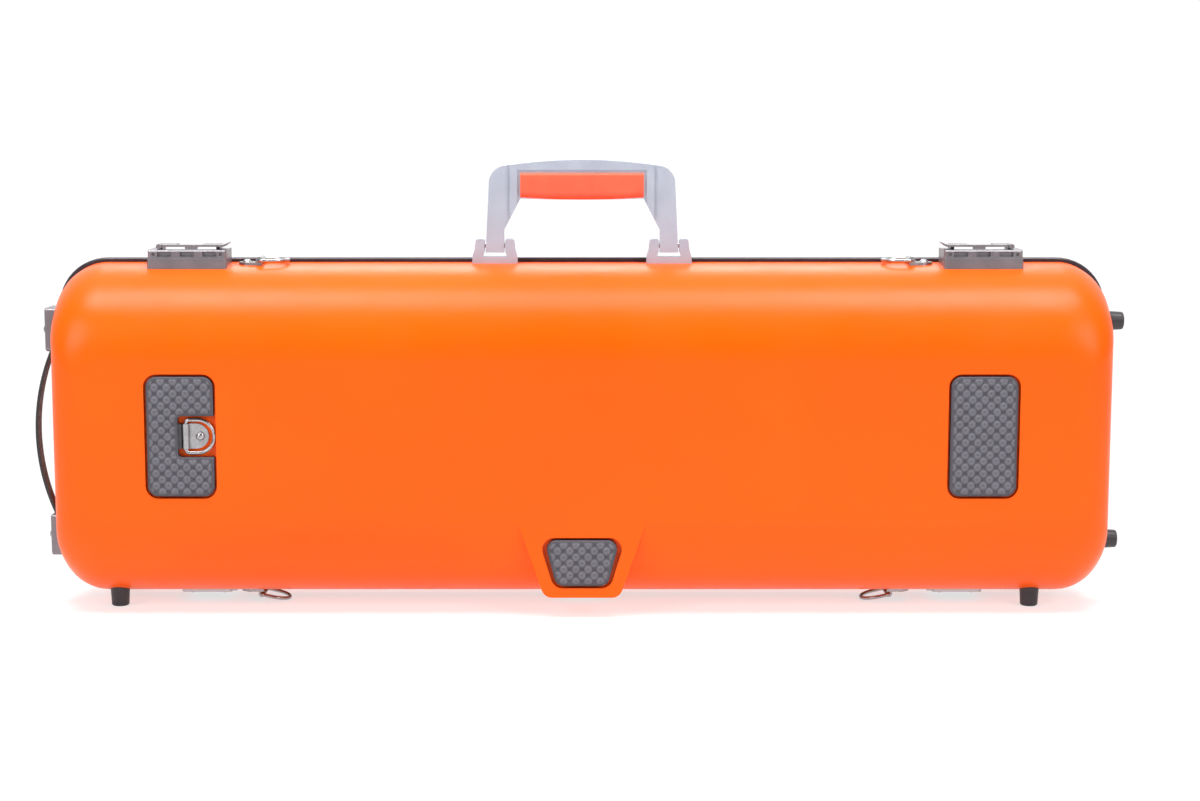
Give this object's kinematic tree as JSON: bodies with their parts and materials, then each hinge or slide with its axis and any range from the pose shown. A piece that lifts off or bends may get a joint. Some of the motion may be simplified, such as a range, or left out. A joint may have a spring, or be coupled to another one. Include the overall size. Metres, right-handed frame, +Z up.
{
  "type": "violin case",
  "caption": "Oblong hard-shell instrument case with rubber-sealed hinged lid, folding grip handle, toggle latches, strap rings, rubber feet and a padded violin cradle.",
  "frame": {"origin": "middle of the footprint on the floor, under the standing feet", "axes": "+X along the case towards its body end, +Y from the back shell to the lid, +Z up towards the carrying handle"},
  "size_m": [0.81, 0.1442, 0.3332],
  "materials": {
    "shell_orange": "satin",
    "seal_rubber": "satin",
    "satin_silver": "satin",
    "satin_grey": "satin",
    "bright_steel": "polished",
    "hinge_steel": "satin",
    "grip_coral": "matte",
    "pad_grey": "matte",
    "foot_rubber": "satin",
    "strap_rubber": "satin",
    "plush_grey": "matte",
    "velvet_orange": "matte",
    "webbing_black": "matte",
    "clip_plastic": "matte"
  },
  "bodies": {
    "base": {"base_shell": "shell_orange", "rim_seal": "seal_rubber", "strap_pad": "pad_grey", "end_pad": "pad_grey", "heel_pad": "pad_grey", "handle_bracket_left": "satin_silver", "handle_bracket_right": "satin_silver", "handle_pins": "hinge_steel", "latch_base_left": "satin_grey", "latch_base_right": "satin_grey", "latch_pins": "hinge_steel", "ring_clip_back": "bright_steel", "ring_clips_top": "bright_steel", "ring_clips_bottom": "bright_steel", "base_fasteners": "bright_steel", "side_strap": "strap_rubber", "side_mount_upper": "satin_grey", "side_mount_lower": "satin_grey", "base_standing_feet": "foot_rubber", "base_end_feet": "foot_rubber", "hinge_base_leaf_neck_end": "hinge_steel", "hinge_base_leaf_middle": "hinge_steel", "hinge_base_leaf_body_end": "hinge_steel", "hinge_pins": "hinge_steel", "cradle_foam": "plush_grey", "upper_block_cushion": "velvet_orange", "lower_block_cushion": "velvet_orange", "neck_rest": "velvet_orange"},
    "lid": {"lid_shell": "shell_orange", "lid_lining": "plush_grey", "lid_cushion": "velvet_orange", "latch_keeper_left": "satin_grey", "latch_keeper_right": "satin_grey", "lid_standing_feet": "foot_rubber", "lid_end_feet": "foot_rubber", "hinge_lid_leaf_neck_end": "hinge_steel", "hinge_lid_leaf_middle": "hinge_steel", "hinge_lid_leaf_body_end": "hinge_steel", "lid_fasteners": "bright_steel", "bow_clip_mounts": "clip_plastic", "frog_pockets": "plush_grey"},
    "handle": {"handle_frame": "satin_silver", "handle_grip": "grip_coral"},
    "latch_lever_left": {"latch_lever_left": "satin_grey", "claw_pin_left": "hinge_steel"},
    "latch_lever_right": {"latch_lever_right": "satin_grey", "claw_pin_right": "hinge_steel"},
    "latch_claw_left": {"latch_claw_left": "hinge_steel"},
    "latch_claw_right": {"latch_claw_right": "hinge_steel"},
    "ring_back": {"ring_back": "bright_steel"},
    "ring_top_left": {"ring_top_left": "bright_steel"},
    "ring_top_right": {"ring_top_right": "bright_steel"},
    "ring_bottom_left": {"ring_bottom_left": "bright_steel"},
    "ring_bottom_right": {"ring_bottom_right": "bright_steel"},
    "bow_clip_upper": {"bow_clip_upper": "clip_plastic"},
    "bow_clip_lower": {"bow_clip_lower": "clip_plastic"},
    "neck_strap": {"neck_strap": "webbing_black"}
  },
  "joints": [
    {"name": "lid_hinge", "type": "hinge", "parent": "base", "child": "lid", "pos_m": [0.0034, 0.018, 0.0052], "axis": [-1, 0, 0], "range_deg": [0, 95]},
    {"name": "handle_pivot", "type": "hinge", "parent": "base", "child": "handle", "pos_m": [0.0034, 0.00525, 0.2694], "axis": [1, 0, 0], "range_deg": [-85, 85]},
    {"name": "latch_lever_left_pivot", "type": "hinge", "parent": "base", "child": "latch_lever_left", "pos_m": [-0.2894, 0.00385, 0.2647], "axis": [-1, 0, 0], "range_deg": [0, 110]},
    {"name": "latch_claw_left_pivot", "type": "hinge", "parent": "latch_lever_left", "child": "latch_claw_left", "pos_m": [-0.2894, -0.00415, 0.2625], "axis": [-1, 0, 0], "range_deg": [-110, 0]},
    {"name": "latch_lever_right_pivot", "type": "hinge", "parent": "base", "child": "latch_lever_right", "pos_m": [0.301, 0.00385, 0.2647], "axis": [-1, 0, 0], "range_deg": [0, 110]},
    {"name": "latch_claw_right_pivot", "type": "hinge", "parent": "latch_lever_right", "child": "latch_claw_right", "pos_m": [0.301, -0.00415, 0.2625], "axis": [-1, 0, 0], "range_deg": [-110, 0]},
    {"name": "ring_back_swing", "type": "hinge", "parent": "base", "child": "ring_back", "pos_m": [-0.285, -0.0678, 0.1346], "axis": [0, 0, -1], "range_deg": [0, 115]},
    {"name": "ring_top_left_swing", "type": "hinge", "parent": "base", "child": "ring_top_left", "pos_m": [-0.2369, -0.00235, 0.25885], "axis": [0, -1, 0], "range_deg": [0, 160]},
    {"name": "ring_top_right_swing", "type": "hinge", "parent": "base", "child": "ring_top_right", "pos_m": [0.249, -0.00235, 0.25885], "axis": [0, 1, 0], "range_deg": [0, 160]},
    {"name": "ring_bottom_left_swing", "type": "hinge", "parent": "base", "child": "ring_bottom_left", "pos_m": [-0.2396, -0.00235, 0.00595], "axis": [0, 1, 0], "range_deg": [-12, 140]},
    {"name": "ring_bottom_right_swing", "type": "hinge", "parent": "base", "child": "ring_bottom_right", "pos_m": [0.2364, -0.00235, 0.00595], "axis": [0, -1, 0], "range_deg": [-12, 140]},
    {"name": "bow_clip_upper_turn", "type": "hinge", "parent": "lid", "child": "bow_clip_upper", "pos_m": [-0.2966, 0.04625, 0.1944], "axis": [0, 1, 0], "range_deg": [0, 90]},
    {"name": "bow_clip_lower_turn", "type": "hinge", "parent": "lid", "child": "bow_clip_lower", "pos_m": [-0.2966, 0.04625, 0.0704], "axis": [0, -1, 0], "range_deg": [0, 90]},
    {"name": "neck_strap_lift", "type": "hinge", "parent": "base", "child": "neck_strap", "pos_m": [-0.0486, 0.00865, 0.1664], "axis": [1, 0, 0], "range_deg": [0, 40]}
  ],
  "couplings": [
    {"joint": "latch_claw_left_pivot", "follows": "latch_lever_left_pivot", "ratio": -1},
    {"joint": "latch_claw_right_pivot", "follows": "latch_lever_right_pivot", "ratio": -1}
  ]
}
